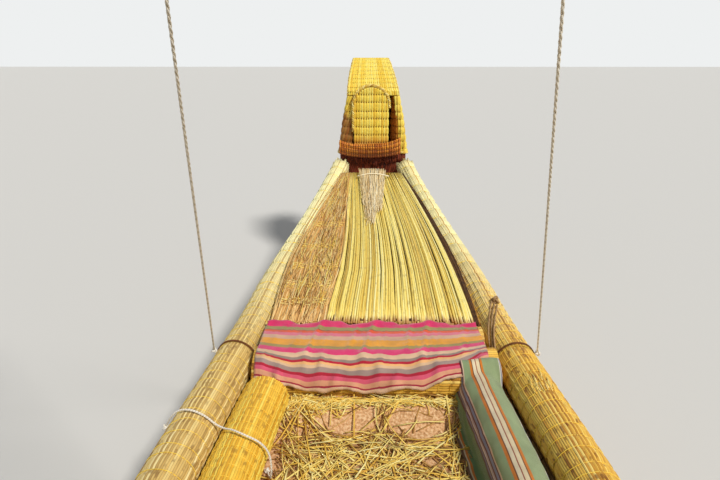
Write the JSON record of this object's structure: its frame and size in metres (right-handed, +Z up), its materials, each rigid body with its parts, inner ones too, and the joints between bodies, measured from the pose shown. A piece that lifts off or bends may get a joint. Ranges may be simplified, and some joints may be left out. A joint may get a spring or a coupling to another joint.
{
  "type": "large reed boat with animal figurehead",
  "caption": "Reed bundle boat with upswept ends, a cat-like figurehead, side benches, pole upper deck, A-frame mast and a steering oar.",
  "frame": {"origin": "amidships on the centreline at the waterline", "axes": "+Y forward to the figurehead, +X to starboard, +Z up"},
  "size_m": [2.9133, 14.4246, 7.2256],
  "materials": {
    "bone_white": "pale peeled reed core",
    "green_cloth": "handwoven striped wool, sage green",
    "pink_cloth": "handwoven striped wool, pink",
    "plank_wood": "sawn plank",
    "pole_wood": "debarked eucalyptus pole",
    "red_cloth": "red woven wool",
    "reed_fresh": "fresh lake reed, still greenish",
    "reed_head": "tied golden reed",
    "reed_hull": "bundled dried lake reed, weathered",
    "reed_roll": "bundled dried lake reed, golden",
    "reed_tan": "fine old reed mat, brown",
    "stay_rope": "twisted fibre rope",
    "straw_floor": "loose golden straw",
    "white_rope": "white twisted rope"
  },
  "bodies": {
    "boat": {"backstay_port": "stay_rope", "backstay_starboard": "stay_rope", "bench_cloth": "green_cloth", "bench_roll_port": "reed_roll", "bench_roll_starboard": "reed_roll", "cabin_bench_port": "reed_roll", "cabin_bench_starboard": "reed_roll", "deck_cross_beams": "pole_wood", "deck_mat": "straw_floor", "deck_posts": "pole_wood", "deck_side_beams": "pole_wood", "foredeck_core": "reed_roll", "foredeck_mat_port": "reed_tan", "foredeck_mat_starboard": "reed_fresh", "forestay_port": "stay_rope", "forestay_starboard": "stay_rope", "front_seat": "reed_roll", "gunwale_roll_port": "reed_roll", "gunwale_roll_starboard": "reed_roll", "head_ears": "reed_head", "head_eyes": "bone_white", "head_hood": "reed_head", "head_jaw": "reed_head", "head_skull": "reed_head", "head_snout": "reed_head", "head_teeth": "bone_white", "head_tongue": "red_cloth", "hull_roll_port": "reed_hull", "hull_roll_starboard": "reed_hull", "ladder_poles": "pole_wood", "ladder_rungs": "pole_wood", "mast_leg_port": "pole_wood", "mast_leg_starboard": "pole_wood", "mast_rungs": "pole_wood", "oar_beam": "pole_wood", "oar_crutch": "pole_wood", "prow_neck": "reed_head", "prow_stem": "reed_roll", "prow_tuft": "reed_fresh", "rail_aft": "pole_wood", "rail_front": "pole_wood", "rail_port": "pole_wood", "rail_stanchion": "pole_wood", "rail_starboard": "pole_wood", "seat_cloth": "pink_cloth", "side_roll_port": "reed_hull", "side_roll_starboard": "reed_hull", "stay_knots": "stay_rope", "stern_tail": "reed_roll", "tie_rope": "white_rope", "tie_rope_hitch": "white_rope", "tie_rope_knot": "white_rope", "upper_deck_planks": "plank_wood"},
    "steering_oar": {"oar_shaft": "pole_wood", "oar_blade": "plank_wood", "oar_tiller": "pole_wood"}
  },
  "joints": [
    {"name": "oar_turn", "type": "hinge", "parent": "boat", "child": "steering_oar", "pos_m": [0.76667, -5, 1.44167], "axis": [0.281, -0.6706, -0.6866], "range_deg": [-40, 40]}
  ]
}
